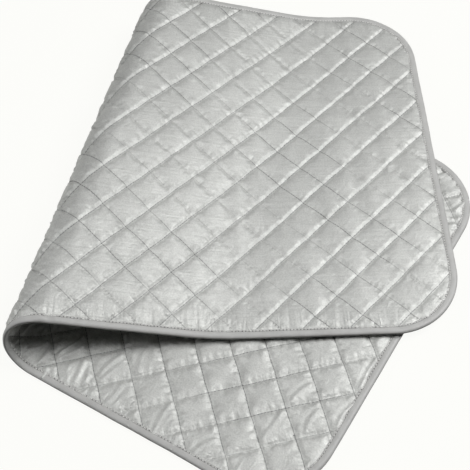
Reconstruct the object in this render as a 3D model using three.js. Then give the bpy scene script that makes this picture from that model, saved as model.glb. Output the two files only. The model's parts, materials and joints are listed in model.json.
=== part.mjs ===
// Quilted ironing pad: two coated cloths with wadding between them, sewn through in diamonds, bound with
// tape all round and folded once on a slant.
//
// The mat is laid out flat first. u runs along its length from the end of the leaf that lies on the table,
// v across its width and n out of its face cloth. bendMat() then carries every flat point into the fold.
// The mat bends at hinge lines that run with the fold, and between two of them it is one stiff section.
import * as THREE from 'three';

// The flat mat, in millimetres
const LENGTH = 860;
const WIDTH = 480;
const CORNER_RADIUS = 78;

// Its layers, and the diamonds they are sewn into
const CLOTH = 0.5;
const SEAM_WADDING = 1.2;
const CROWN = 2.6;
const QUILT_PITCH = 36;
const CLEARANCE = 0.3;

// The doubled tape folded over its edge, and the seam that holds it
const TAPE = 0.8;
const BINDING_WIDTH = 11;
const SEAM_INSET = 1.6;
const THREAD = 0.3;
const THREAD_WIDTH = 0.9;
const THREAD_GAP = 0.1;

// The fold: a round loop, then a slope down to the leaf that lies on the other one
const FOLD_PLACE = 432;
const FOLD_SKEW = THREE.MathUtils.degToRad(16.6);
const FOLD_RADIUS = 29;
const SLOPE_LENGTH = 175;
const BEND_RADIUS = 130;
const LEAF_GAP = 0.5;

// Counts, and the width of the bands that the plain sides are made of
const FOLD_HINGES = 4;
const FACETS_PER_STRIP = 2;
const PLAIN_BAND = 60;
const CORNER_STEPS = 6;

// Half thicknesses of the mat, at a seam, at a cell's crown and at the bound edge
const halfSeam = SEAM_WADDING / 2 + CLEARANCE + CLOTH;
const halfCrown = halfSeam + CROWN;
const halfEdge = halfSeam + CLEARANCE + TAPE;

// The leaf on the table is pressed flatter underneath, and stands on its binding
const restingCrown = TAPE;

// How far the tape, the quilted field and the layers' cut edge lie inside the outline
const fieldInset = BINDING_WIDTH + CLEARANCE;
const layerInset = TAPE + CLEARANCE;

// The slope ends where the crowns of the two leaves just clear each other
const leafRise = 2 * halfCrown + LEAF_GAP;
const slope =
  Math.acos((leafRise - FOLD_RADIUS) / Math.hypot(FOLD_RADIUS, SLOPE_LENGTH)) -
  Math.atan2(SLOPE_LENGTH, FOLD_RADIUS);
const foldTurn = Math.PI + slope;
const hingeTurn = foldTurn / FOLD_HINGES;

// Where the loop, the slope and the bend end, measured across the fold from the loop's start
const loopEnd = FOLD_RADIUS * foldTurn;
const slopeEnd = loopEnd + SLOPE_LENGTH - BEND_RADIUS * Math.tan(slope / 2);
const bendEnd = slopeEnd + BEND_RADIUS * slope;
const bendHinge = (slopeEnd + bendEnd) / 2;
const foldHinge = (index) => FOLD_RADIUS * hingeTurn * (index + 0.5);

// Flat directions of the fold, and the same ones on the table
const skewCos = Math.cos(FOLD_SKEW);
const skewSin = Math.sin(FOLD_SKEW);
const acrossFold = new THREE.Vector3(-skewCos, -skewSin, 0);
const alongFold = new THREE.Vector3(-skewSin, skewCos, 0);
const up = new THREE.Vector3(0, 0, 1);

const acrossAt = (u, v) => (u - FOLD_PLACE) * skewCos - v * skewSin + loopEnd / 2;
const alongAt = (u, v) => (u - FOLD_PLACE) * skewSin + v * skewCos;
const lengthAt = (across, v) => FOLD_PLACE + (across - loopEnd / 2 + v * skewSin) / skewCos;

// The middle layer's line across the fold: how far it has gone, how high it is and how far it has turned
function foldLine(across) {
  const turn = Math.min(Math.max(across / FOLD_RADIUS, 0), foldTurn);
  const line = {
    out: Math.min(across, 0) + FOLD_RADIUS * Math.sin(turn),
    rise: FOLD_RADIUS * (1 - Math.cos(turn)),
    turn,
  };
  const sloping = Math.min(Math.max(across - loopEnd, 0), slopeEnd - loopEnd);
  line.out += sloping * Math.cos(foldTurn);
  line.rise += sloping * Math.sin(foldTurn);
  const bent = Math.min(Math.max(across - slopeEnd, 0) / BEND_RADIUS, slope);
  line.out += BEND_RADIUS * (Math.sin(foldTurn) - Math.sin(foldTurn - bent));
  line.rise += BEND_RADIUS * (Math.cos(foldTurn - bent) - Math.cos(foldTurn));
  line.turn -= bent;
  line.out -= Math.max(across - bendEnd, 0);
  return line;
}

// A point of the folded mat on one line across the fold, n over its middle layer
function foldedPoint(across, along, n) {
  const { out, rise, turn } = foldLine(across);
  return new THREE.Vector3()
    .addScaledVector(acrossFold, out + n * Math.sin(turn))
    .addScaledVector(alongFold, along)
    .addScaledVector(up, halfEdge + rise - n * Math.cos(turn));
}

// Carries a flat point into the folded mat, which is level between the two lines on its either side
function bendMat(u, v, n, lines) {
  const across = acrossAt(u, v);
  const after = lines.findIndex((line, i) => i > 0 && across <= line);
  const next = after < 0 ? lines.length - 1 : after;
  const [from, to] = [lines[next - 1], lines[next]];
  const along = alongAt(u, v);
  const start = foldedPoint(from, along, n);
  return start.lerp(foldedPoint(to, along, n), (across - from) / (to - from));
}

// A corner's centre, by the signs of its two sides seen from the mat's middle
const cornerCentre = (endSign, sideSign) => ({
  u: LENGTH / 2 + endSign * (LENGTH / 2 - CORNER_RADIUS),
  v: sideSign * (WIDTH / 2 - CORNER_RADIUS),
});

// One rounded corner of the outline, drawn in by inset, as points from startAngle through a quarter turn
function cornerPoints(endSign, sideSign, startAngle, inset) {
  const centre = cornerCentre(endSign, sideSign);
  const radius = CORNER_RADIUS - inset;
  return Array.from({ length: CORNER_STEPS + 1 }, (_, step) => {
    const angle = startAngle + (Math.PI / 2) * (step / CORNER_STEPS);
    return { u: centre.u + radius * Math.cos(angle), v: centre.v + radius * Math.sin(angle) };
  });
}

// The whole outline, counterclockwise, drawn in by inset
function outline(inset) {
  return [
    ...cornerPoints(1, 1, 0, inset),
    ...cornerPoints(-1, 1, Math.PI / 2, inset),
    ...cornerPoints(-1, -1, Math.PI, inset),
    ...cornerPoints(1, -1, -Math.PI / 2, inset),
  ];
}

// Points this close count as one, and a point this close to a cut counts as on it
const SAME_POINT = 0.02;
const FLAT_GRID = 0.005;
const SOLID_GRID = 0.002;

// Keeps the part of a convex polygon where distance(point) is not negative
function clipPolygon(polygon, distance) {
  const sides = polygon.map((point) => {
    const value = distance(point);
    return Math.abs(value) < SAME_POINT ? 0 : value;
  });
  const kept = [];
  polygon.forEach((point, i) => {
    const j = (i + 1) % polygon.length;
    if (sides[i] >= 0) kept.push(point);
    if (sides[i] * sides[j] < 0) {
      const share = sides[i] / (sides[i] - sides[j]);
      const next = polygon[j];
      kept.push({
        u: point.u + share * (next.u - point.u),
        v: point.v + share * (next.v - point.v),
        crown: (point.crown ?? 0) + share * ((next.crown ?? 0) - (point.crown ?? 0)),
      });
    }
  });
  const apart = kept.filter((point, i) => {
    const before = kept[(i + kept.length - 1) % kept.length];
    return Math.hypot(point.u - before.u, point.v - before.v) > SAME_POINT;
  });
  return apart.length > 2 ? apart : [];
}

// Signed distance of a point to the left of the line from a to b
const leftOf = (a, b) => (point) =>
  ((b.u - a.u) * (point.v - a.v) - (b.v - a.v) * (point.u - a.u)) / Math.hypot(b.u - a.u, b.v - a.v);

const pointKey = ({ u, v }) => `${Math.round(u / FLAT_GRID)},${Math.round(v / FLAT_GRID)}`;

// The edges that only one triangle uses
function rimEdges(triangles) {
  const edges = new Map();
  for (const triangle of triangles) {
    triangle.forEach((a, i) => {
      const b = triangle[(i + 1) % 3];
      const back = `${pointKey(b)};${pointKey(a)}`;
      if (!edges.delete(back)) edges.set(`${pointKey(a)};${pointKey(b)}`, [a, b]);
    });
  }
  return [...edges.values()];
}

// One sewn cell as triangles that rise from its seams to its crown, lower where the cell is cut short
function crownedCell(polygon) {
  const middle = { u: 0, v: 0, crown: 1 };
  for (const point of polygon) {
    middle.u += point.u / polygon.length;
    middle.v += point.v / polygon.length;
  }
  polygon.forEach((point, i) => {
    const reach = leftOf(point, polygon[(i + 1) % polygon.length])(middle) / (QUILT_PITCH / 2);
    middle.crown = Math.min(middle.crown, reach);
  });
  return polygon.map((point, i) => [point, polygon[(i + 1) % polygon.length], middle]);
}

// The flat mat as triangles: diamond cells inside the binding, and the level band under it
function quiltedMat() {
  const field = outline(fieldInset).map((point) => ({ ...point, crown: 0 }));
  const diagonal = QUILT_PITCH * Math.SQRT2;
  const cells = [];
  const last = Math.ceil((LENGTH + WIDTH) / diagonal) + 1;
  for (let i = -last; i <= last; i++) {
    for (let j = -last; j <= last; j++) {
      const corner = (di, dj) => {
        const fall = (i + di) * diagonal;
        const climb = (j + dj + 0.5) * diagonal;
        return { u: (fall + climb) / 2, v: (climb - fall) / 2, crown: 0 };
      };
      let cell = [corner(0, 0), corner(1, 0), corner(1, 1), corner(0, 1)];
      field.forEach((a, k) => {
        cell = clipPolygon(cell, leftOf(a, field[(k + 1) % field.length]));
      });
      if (cell.length > 0) cells.push(...crownedCell(cell));
    }
  }
  const band = rimEdges(cells).flatMap(([a, b]) => {
    const [farA, farB] = [toCutEdge(a), toCutEdge(b)];
    return [[farA, farB, b], [farA, b, a]];
  });
  return [...cells, ...band];
}

// Carries a point of the field's rim straight out to the layers' cut edge
function toCutEdge({ u, v }) {
  const centre = cornerCentre(Math.sign(u - LENGTH / 2), Math.sign(v));
  const out = { u: u - centre.u, v: v - centre.v };
  const past = { u: out.u * Math.sign(u - LENGTH / 2) > 0, v: out.v * Math.sign(v) > 0 };
  if (past.u && past.v) {
    const share = (CORNER_RADIUS - layerInset) / (CORNER_RADIUS - fieldInset);
    return { u: centre.u + out.u * share, v: centre.v + out.v * share, crown: 0 };
  }
  const step = fieldInset - layerInset;
  if (past.u) return { u: u + step * Math.sign(u - LENGTH / 2), v, crown: 0 };
  return { u, v: v + step * Math.sign(v), crown: 0 };
}

// The plain mat as polygons: bands that run across the fold
function plainMat() {
  const whole = outline(layerInset).map((point) => ({ ...point, crown: 0 }));
  const last = Math.ceil((LENGTH + WIDTH) / PLAIN_BAND);
  const bands = [];
  for (let k = -last; k < last; k++) {
    const band = clipPolygon(whole, (p) => alongAt(p.u, p.v) - k * PLAIN_BAND);
    bands.push(clipPolygon(band, (p) => (k + 1) * PLAIN_BAND - alongAt(p.u, p.v)));
  }
  return bands;
}

// The part of some flat polygons between the lines of a section, as triangles that each lie in one facet
function cutMat(polygons, lines) {
  const triangles = [];
  lines.slice(1).forEach((to, k) => {
    for (const whole of polygons) {
      let polygon = clipPolygon(whole, (p) => acrossAt(p.u, p.v) - lines[k]);
      polygon = clipPolygon(polygon, (p) => to - acrossAt(p.u, p.v));
      for (let i = 1; i + 1 < polygon.length; i++) triangles.push([polygon[0], polygon[i], polygon[i + 1]]);
    }
  });
  return triangles;
}

// A closed geometry from triangles of 3-D points, its shared corners merged and its faces pointing out
function closedGeometry(triangles) {
  const places = [];
  const numbers = new Map();
  const index = triangles.flatMap((triangle) => {
    const corners = triangle.map((point) => {
      const key = point.toArray().map((x) => Math.round(x / SOLID_GRID)).join();
      if (!numbers.has(key)) {
        numbers.set(key, numbers.size);
        places.push(...point.toArray());
      }
      return numbers.get(key);
    });
    return new Set(corners).size === 3 ? corners : [];
  });
  const volume = triangles.reduce((sum, [a, b, c]) => sum + a.dot(b.clone().cross(c)), 0);
  if (volume < 0) index.reverse();
  const geometry = new THREE.BufferGeometry();
  geometry.setAttribute('position', new THREE.Float32BufferAttribute(places, 3));
  geometry.setIndex(index);
  geometry.computeVertexNormals();
  return geometry;
}

// The rim of some triangles as a closed loop of points, each with its way round from the loop's start
function rimLoop(triangles) {
  const next = new Map(rimEdges(triangles).map((edge) => [pointKey(edge[0]), edge]));
  const edges = [...next.values()];
  let edge = edges.reduce((best, e) => (alongAt(e[0].u, e[0].v) > alongAt(best[0].u, best[0].v) ? e : best));
  const loop = [{ point: edge[0], way: 0 }];
  while (loop.length <= edges.length) {
    const [from, to] = edge;
    loop.push({ point: to, way: loop.at(-1).way + Math.hypot(to.u - from.u, to.v - from.v) });
    edge = next.get(pointKey(to));
  }
  return loop;
}

// A layer of the mat: a level side, a side whose height is a function of the crown, and the wall between them
function layer(quilted, plain, lines, levelHeight, height) {
  const crowned = (point) => bendMat(point.u, point.v, height(point.crown), lines);
  const level = (point) => bendMat(point.u, point.v, levelHeight, lines);
  const triangles = quilted.map((triangle) => triangle.map(crowned));
  for (const [a, b, c] of plain) triangles.push([level(a), level(c), level(b)]);
  const [top, foot] = [rimLoop(quilted), rimLoop(plain)];
  let [i, j] = [0, 0];
  while (i + 1 < top.length || j + 1 < foot.length) {
    const climbs = j + 1 === foot.length || (i + 1 < top.length && top[i + 1].way <= foot[j + 1].way);
    const [at, on] = [crowned(top[i].point), level(foot[j].point)];
    if (climbs) {
      i += 1;
      triangles.push([on, crowned(top[i].point), at]);
    } else {
      j += 1;
      triangles.push([on, level(foot[j].point), at]);
    }
  }
  return closedGeometry(triangles);
}

// A bar of one section, given as rings of 3-D points, with its two ends closed
function bar(rings, section) {
  const triangles = [];
  for (let k = 0; k + 1 < rings.length; k++) {
    rings[k].forEach((a, i) => {
      const j = (i + 1) % section.length;
      const [b, c, d] = [rings[k][j], rings[k + 1][j], rings[k + 1][i]];
      triangles.push([a, b, c], [a, c, d]);
    });
  }
  const sectionArea = THREE.ShapeUtils.area(section);
  for (const cap of THREE.ShapeUtils.triangulateShape(section, [])) {
    const capArea = THREE.ShapeUtils.area(cap.map((i) => section[i]));
    const [a, b, c] = capArea * sectionArea > 0 ? cap : cap.reverse();
    triangles.push([rings[0][a], rings[0][c], rings[0][b]]);
    triangles.push([rings.at(-1)[a], rings.at(-1)[b], rings.at(-1)[c]]);
  }
  return closedGeometry(triangles);
}

// The tape's section: x is how far it lies inside the outline, y its height over the mat's middle.
// One half runs over the face from the edge's middle to the tape's rim, and its seam pulls a groove into it.
const seamMiddle = BINDING_WIDTH - SEAM_INSET;
const grooveHalf = THREAD_WIDTH / 2 + THREAD_GAP;
const grooveFloor = halfEdge - THREAD - THREAD_GAP;
const tapeHalf = [
  [0, halfEdge - TAPE],
  [TAPE, halfEdge],
  [seamMiddle - grooveHalf, halfEdge],
  [seamMiddle - grooveHalf, grooveFloor],
  [seamMiddle + grooveHalf, grooveFloor],
  [seamMiddle + grooveHalf, halfEdge],
  [BINDING_WIDTH, halfEdge],
  [BINDING_WIDTH, halfEdge - TAPE],
  [TAPE, halfEdge - TAPE],
];
const tapeSection = [...tapeHalf, ...tapeHalf.map(([x, y]) => [x, -y]).reverse()].map(
  ([x, y]) => new THREE.Vector2(x, y),
);

// The seam's thread in its groove, level with the tape on the face or the back
const seamSection = (side) =>
  [
    [seamMiddle - THREAD_WIDTH / 2, halfEdge - THREAD],
    [seamMiddle + THREAD_WIDTH / 2, halfEdge - THREAD],
    [seamMiddle + THREAD_WIDTH / 2, halfEdge],
    [seamMiddle - THREAD_WIDTH / 2, halfEdge],
  ].map(([x, y]) => new THREE.Vector2(x, side * y));

// Rings of a section along a straight side, one on each line across the fold
const sideRings = (section, sideSign, lines) =>
  lines.map((across) =>
    section.map(({ x, y }) => {
      const v = sideSign * (WIDTH / 2 - x);
      return foldedPoint(across, alongAt(lengthAt(across, v), v), y);
    }));

// Rings of a section round the two corners of one end, from the near side to the far one
function endRings(section, endSign) {
  const drawn = section.map(({ x }) => {
    const near = cornerPoints(endSign, -1, endSign > 0 ? -Math.PI / 2 : Math.PI, x);
    const far = cornerPoints(endSign, 1, endSign > 0 ? 0 : Math.PI / 2, x);
    return endSign > 0 ? [...near, ...far] : [...near.reverse(), ...far.reverse()];
  });
  return drawn[0].map((_, step) =>
    section.map(({ y }, i) => {
      const { u, v } = drawn[i][step];
      return foldedPoint(acrossAt(u, v), alongAt(u, v), y);
    }));
}

// What runs round one end of the mat, from the hinge on its near side to the hinge on its far side
function roundEnd(section, endSign, lines) {
  const inward = endSign > 0 ? lines : [...lines].reverse();
  const outward = [...inward].reverse();
  return bar(
    [
      ...sideRings(section, -1, inward),
      ...endRings(section, endSign),
      ...sideRings(section, 1, outward),
    ],
    section,
  );
}

// Matte or coated cloth, drawn with its facets so that the sewn cells show
const cloth = (color, roughness, metalness) =>
  new THREE.MeshStandardMaterial({ color, roughness, metalness, flatShading: true });

const materials = {
  faceCloth: cloth(0xb4b6b7, 0.42, 0.25),
  backingCloth: cloth(0xadafb0, 0.45, 0.25),
  wadding: cloth(0xe9e8e3, 0.95, 0),
  binding: cloth(0x8e9193, 0.7, 0),
  thread: cloth(0x9b9d9f, 0.6, 0),
};

function piece(name, geometry, material) {
  const mesh = new THREE.Mesh(geometry, material);
  mesh.name = name;
  return mesh;
}

// The mat's sections from the table up: each has its own name, and the lines it is cut and bent on
const halfGap = CLEARANCE / 2;
const wholeMat = LENGTH + WIDTH;
const sections = [{ name: 'lower_leaf', end: -1, lines: [-wholeMat, 0, foldHinge(0) - halfGap] }];
for (let k = 0; k + 1 < FOLD_HINGES; k++) {
  const [from, to] = [foldHinge(k) + halfGap, foldHinge(k + 1) - halfGap];
  const lines = [from];
  for (let i = 1; i <= FACETS_PER_STRIP; i++) lines.push(from + ((to - from) * i) / FACETS_PER_STRIP);
  sections.push({ name: `fold_strip_${k + 1}`, end: 0, lines });
}
const slopeStart = foldHinge(FOLD_HINGES - 1) + halfGap;
sections.push({ name: 'sloping_panel', end: 0, lines: [slopeStart, loopEnd, slopeEnd, bendHinge - halfGap] });
sections.push({ name: 'upper_leaf', end: 1, lines: [bendHinge + halfGap, bendEnd, wholeMat] });

// One section's cloths and wadding, and the tape and its seam along its edge
function sewnSection({ name, end, lines }, quilt, plain) {
  const section = new THREE.Group();
  const sewn = cutMat(quilt, lines);
  const level = cutMat(plain, lines);
  const faceCrown = name === 'lower_leaf' ? restingCrown : CROWN;
  const face = layer(sewn, level, lines, halfSeam - CLOTH, (crown) => halfSeam + faceCrown * crown);
  const back = layer(sewn, level, lines, CLOTH - halfSeam, (crown) => -halfSeam - CROWN * crown);
  const wadding = layer(level, level, lines, -SEAM_WADDING / 2, () => SEAM_WADDING / 2);
  section.add(
    piece(`${name}_face_cloth`, face, materials.faceCloth),
    piece(`${name}_wadding`, wadding, materials.wadding),
    piece(`${name}_backing_cloth`, back, materials.backingCloth),
  );
  const edges = [
    ['binding', tapeSection, materials.binding],
    ['binding_face_seam', seamSection(1), materials.thread],
    ['binding_back_seam', seamSection(-1), materials.thread],
  ];
  for (const [part, profile, material] of edges) {
    if (end !== 0) {
      const inner = end < 0 ? lines.slice(1) : lines.slice(0, -1);
      section.add(piece(`${name}_${part}`, roundEnd(profile, end, inner), material));
      continue;
    }
    for (const [side, sideSign] of [['near', -1], ['far', 1]]) {
      const geometry = bar(sideRings(profile, sideSign, lines), profile);
      section.add(piece(`${name}_${side}_${part}`, geometry, material));
    }
  }
  return section;
}

// A hinge line: on the loop it lies over the crowns of the face cloth, at the bend under those of the back
function hingeLine(across, n, turn) {
  return { point: foldedPoint(across, 0, n), axis: alongFold.clone().negate(), turn };
}

const quilt = quiltedMat();
const plain = plainMat();
const pad = new THREE.Group();
pad.add(...sections.map((section) => sewnSection(section, quilt, plain)));

// The origin is under the middle of the folded pad, on the table
const box = new THREE.Box3().setFromObject(pad);
const middle = box.getCenter(new THREE.Vector3());
pad.position.set(-middle.x, -middle.y, -box.min.z);

// The hinges, in the pad's own frame, each with the turn that opens it flat
const hinges = [];
for (let k = 0; k < FOLD_HINGES; k++) hinges.push(hingeLine(foldHinge(k), halfCrown, hingeTurn));
hinges.push(hingeLine(bendHinge, -halfCrown, -slope));
for (const hinge of hinges) hinge.point.add(pad.position);
pad.userData.hinges = hinges;

export default pad;
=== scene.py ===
"""Dresses the frame of a quilted ironing pad: padded cloth, bound edge, stitches and a plain stage.

The mat is laid out flat first, in millimetres. u runs along its length from the end of the leaf that lies on
the table, v across its width and n out of its face cloth. folded() then carries flat points into the fold.
"""
import json
import math

import bpy
import numpy as np
from mathutils import Matrix, Vector


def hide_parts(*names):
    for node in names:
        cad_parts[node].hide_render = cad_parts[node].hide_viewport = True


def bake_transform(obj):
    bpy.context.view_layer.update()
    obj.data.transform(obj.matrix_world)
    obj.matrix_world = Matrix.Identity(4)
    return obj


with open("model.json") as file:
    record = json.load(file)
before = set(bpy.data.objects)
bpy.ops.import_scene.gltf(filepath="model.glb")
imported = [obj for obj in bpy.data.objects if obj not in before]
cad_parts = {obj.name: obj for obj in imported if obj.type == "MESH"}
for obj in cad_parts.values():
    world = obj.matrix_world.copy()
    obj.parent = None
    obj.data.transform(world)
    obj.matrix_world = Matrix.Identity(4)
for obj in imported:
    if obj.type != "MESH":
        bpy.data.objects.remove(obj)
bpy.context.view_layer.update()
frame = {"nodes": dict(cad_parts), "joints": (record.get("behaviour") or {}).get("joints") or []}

bl_info = {
    "name": "Quilted ironing pad",
    "version": (1, 0, 0),
    "blender": (4, 5, 0),
    "location": "View3D > Sidebar > Ironing pad",
    "description": "Makes the padded cloth, binding, stitches and stage of a folded ironing pad",
    "category": "Object",
}

MM = 0.001

# The flat mat and its fold, as the frame has them, in millimetres
LENGTH = 860.0
WIDTH = 480.0
CORNER = 78.0
PITCH = 36.0
HALF_SEAM = 1.4
HALF_CROWN = 4.0
HALF_EDGE = 2.5
FOLD_PLACE = 432.0
FOLD_SKEW = math.radians(16.6)
FOLD_RADIUS = 29.0
FOLD_HINGES = 4
SLOPE_LENGTH = 175.0
LEAF_RISE = 8.5
BEND_RADIUS = 260.0

SLOPE = (
    math.acos((LEAF_RISE - FOLD_RADIUS) / math.hypot(FOLD_RADIUS, SLOPE_LENGTH))
    - math.atan2(SLOPE_LENGTH, FOLD_RADIUS)
)
FOLD_TURN = math.pi + SLOPE
LOOP_END = FOLD_RADIUS * FOLD_TURN
STRIP = LOOP_END / FOLD_HINGES
SLOPE_END = LOOP_END + SLOPE_LENGTH - BEND_RADIUS * math.tan(SLOPE / 2)
BEND_END = SLOPE_END + BEND_RADIUS * SLOPE
BEND_HINGE = (SLOPE_END + BEND_END) / 2
SKEW_COS = math.cos(FOLD_SKEW)
SKEW_SIN = math.sin(FOLD_SKEW)

# Every piece is cut on lines that run with the fold, each in the middle of a strip that bends with no other,
# and each length of it lies between two bodies of the frame
PANEL_CUT = LOOP_END + 60.0
CUTS = np.array([STRIP, 2 * STRIP, 3 * STRIP, PANEL_CUT])
CUT_MARGIN = 3.2
BEND_HALF = 30.0
LENGTHS = (
    ("lower", "lower_leaf", "fold_strip_1", ("lower_leaf",)),
    ("fold_1", "fold_strip_1", "fold_strip_2", ("fold_strip_1",)),
    ("fold_2", "fold_strip_2", "fold_strip_3", ("fold_strip_2",)),
    ("fold_3", "fold_strip_3", "sloping_panel", ("fold_strip_3",)),
    ("upper", "sloping_panel", "upper_leaf", ("sloping_panel", "upper_leaf")),
)
SEED = 11

# Places across the fold: where each starts, over how far it comes in, where it ends and over how far it goes
LOOP_SPAN = (0.0, 20.0, LOOP_END, 20.0)
CREASED_SPAN = (-150.0, 110.0, LOOP_END + 60, 60.0)
OPEN_SPAN = (-140.0, 40.0, LOOP_END + 140, 60.0)
CRUMPLED_SPAN = (-30.0, 30.0, LOOP_END + 30, 30.0)


def linear(hex_colour):
    """An sRGB hex colour as the linear red, green and blue that Blender's sockets take."""
    parts = [int(hex_colour[i : i + 2], 16) / 255 for i in (1, 3, 5)]
    return tuple(c / 12.92 if c <= 0.04045 else ((c + 0.055) / 1.055) ** 2.4 for c in parts)


def smooth(x):
    """Zero below 0, one above 1, and a smooth step between them."""
    x = np.clip(x, 0, 1)
    return x * x * (3 - 2 * x)


def within(across, span):
    """One inside a span across the fold, zero outside it, and a smooth step at both its ends."""
    start, coming, end, going = span
    return smooth((across - start) / coming) * smooth((end - across) / going)


def across_at(u, v):
    """How far a flat point lies across the fold, from where the loop starts."""
    return (u - FOLD_PLACE) * SKEW_COS - v * SKEW_SIN + LOOP_END / 2


def along_at(u, v):
    """How far a flat point lies along the fold."""
    return (u - FOLD_PLACE) * SKEW_SIN + v * SKEW_COS


def flat_at(across, along):
    """The flat point at a place across and along the fold."""
    d = across - LOOP_END / 2
    return FOLD_PLACE + d * SKEW_COS + along * SKEW_SIN, along * SKEW_COS - d * SKEW_SIN


def fold_line(across):
    """The middle layer's line across the fold: how far out it is, how high and how far it has turned."""
    turn = np.clip(across / FOLD_RADIUS, 0, FOLD_TURN)
    out = np.minimum(across, 0) + FOLD_RADIUS * np.sin(turn)
    rise = FOLD_RADIUS * (1 - np.cos(turn))
    sloping = np.clip(across - LOOP_END, 0, SLOPE_END - LOOP_END)
    out = out + sloping * math.cos(FOLD_TURN)
    rise = rise + sloping * math.sin(FOLD_TURN)
    bent = np.clip((across - SLOPE_END) / BEND_RADIUS, 0, SLOPE)
    out = out + BEND_RADIUS * (math.sin(FOLD_TURN) - np.sin(FOLD_TURN - bent))
    rise = rise + BEND_RADIUS * (np.cos(FOLD_TURN - bent) - math.cos(FOLD_TURN))
    return out - np.maximum(across - BEND_END, 0), rise, turn - bent


def folded_from_table(u, v, n):
    """Flat points carried into the fold, in metres, before the frame's origin is taken off."""
    out, rise, turn = fold_line(across_at(u, v))
    far = out + n * np.sin(turn)
    along = along_at(u, v)
    x = -SKEW_COS * far - SKEW_SIN * along
    y = -SKEW_SIN * far + SKEW_COS * along
    z = HALF_EDGE + rise - n * np.cos(turn)
    return np.stack(np.broadcast_arrays(x, y, z), -1) * MM


# The frame's first hinge fixes where the fold stands in it
first_hinge = next(j for j in frame["joints"] if j["name"] == "fold_1")
ORIGIN = np.array(first_hinge["pos_m"]) - folded_from_table(*flat_at(STRIP / 2, 0.0), HALF_CROWN)


def folded(u, v, n):
    """Flat points carried into the fold, in metres, in the frame."""
    return folded_from_table(u, v, n) + ORIGIN


def inset_at(u, v):
    """How far inside the mat's outline a flat point lies."""
    du = np.abs(u - LENGTH / 2) - (LENGTH / 2 - CORNER)
    dv = np.abs(v) - (WIDTH / 2 - CORNER)
    in_corner = (du > 0) & (dv > 0)
    reach = np.where(in_corner, np.hypot(np.maximum(du, 0), np.maximum(dv, 0)), np.maximum(du, dv))
    return CORNER - reach


class PadCloth(bpy.types.PropertyGroup):
    """The quilted cloth."""

    ease: bpy.props.FloatProperty(
        name="Ease", description="Spare cloth over each cell, as a share", default=0.02, min=0, max=0.1
    )
    gather: bpy.props.FloatProperty(
        name="Gather", description="Spare cloth beside each seam, as a share", default=0.045, min=0, max=0.2
    )
    pressure: bpy.props.FloatProperty(
        name="Loft", description="How hard the wadding pushes the cloth out", default=14.0, min=0, max=100
    )
    sway: bpy.props.FloatProperty(
        name="Sway", description="How far a sewn line strays", default=0.5 * MM, unit="LENGTH"
    )
    colour: bpy.props.FloatVectorProperty(
        name="Cloth", description="Coated cloth", subtype="COLOR", default=linear("#c6c7c4"), min=0, max=1
    )
    # Painted shade: the darker colour given to each sewn line's groove and needle holes
    groove_shade_colour: bpy.props.FloatVectorProperty(
        name="Painted groove shade", description="Sewn lines", subtype="COLOR", default=linear("#666767"), min=0, max=1
    )


class PadThread(bpy.types.PropertyGroup):
    """The sewing thread."""

    stitch: bpy.props.FloatProperty(
        name="Stitch", description="From one needle hole to the next", default=3.6 * MM, unit="LENGTH"
    )
    radius: bpy.props.FloatProperty(
        name="Quilting thread", description="Half its width", default=0.36 * MM, unit="LENGTH"
    )
    seam_radius: bpy.props.FloatProperty(
        name="Seam thread", description="Half its width", default=0.5 * MM, unit="LENGTH"
    )
    quilting_colour: bpy.props.FloatVectorProperty(
        name="Quilting colour",
        description="Quilting thread",
        subtype="COLOR",
        default=linear("#b4b4b2"),
        min=0,
        max=1,
    )
    seam_colour: bpy.props.FloatVectorProperty(
        name="Seam colour",
        description="Tape seam's thread",
        subtype="COLOR",
        default=linear("#e6e6e3"),
        min=0,
        max=1,
    )


class PadBinding(bpy.types.PropertyGroup):
    """The tape round the edge."""

    pucker: bpy.props.FloatProperty(
        name="Pucker", description="How uneven the tape lies", default=0.22 * MM, unit="LENGTH"
    )
    colour: bpy.props.FloatVectorProperty(
        name="Tape", description="Bias tape", subtype="COLOR", default=linear("#b4b4b2"), min=0, max=1
    )


class PadStage(bpy.types.PropertyGroup):
    """The stage and its light."""

    floor_colour: bpy.props.FloatVectorProperty(
        name="Floor", description="Floor", subtype="COLOR", default=linear("#fdfdfa"), min=0, max=1
    )
    bounce_colour: bpy.props.FloatVectorProperty(
        name="Bounce", description="Floor as light", subtype="COLOR", default=linear("#7c7c79"), min=0, max=1
    )
    lens: bpy.props.FloatProperty(
        name="Lens", description="Focal length on a 36 mm sensor, in millimetres", default=86.21
    )


def add_node(tree, kind, inputs=None, output=0, **settings):
    """Adds a node, sets its settings, sets or links its inputs, and gives one of its outputs or itself."""
    made = tree.nodes.new(kind)
    for name, value in settings.items():
        setattr(made, name, value)
    for name, value in (inputs or {}).items():
        if isinstance(value, bpy.types.NodeSocket):
            tree.links.new(value, made.inputs[name])
        else:
            made.inputs[name].default_value = value
    return made if output is None else made.outputs[output]


def product(tree, ranges, **settings):
    """Multiplies values, each first brought from one range to another."""
    whole = 1.0
    for value, start, end, first, last in ranges:
        span = {"Value": value, "From Min": start, "From Max": end, "To Min": first, "To Max": last}
        share = add_node(tree, "ShaderNodeMapRange", span, **settings)
        whole = add_node(tree, "ShaderNodeMath", {0: whole, 1: share}, operation="MULTIPLY")
    return whole


def tinted(tree, colour, tints):
    """A colour that patterns make lighter and darker."""
    scaled = {0: tuple(colour), "Scale": product(tree, tints)}
    return add_node(tree, "ShaderNodeVectorMath", scaled, operation="SCALE")


def new_material(name):
    """An empty material and its node tree."""
    material = bpy.data.materials.new(name)
    material.use_nodes = True
    material.node_tree.nodes.clear()
    return material, material.node_tree


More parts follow.
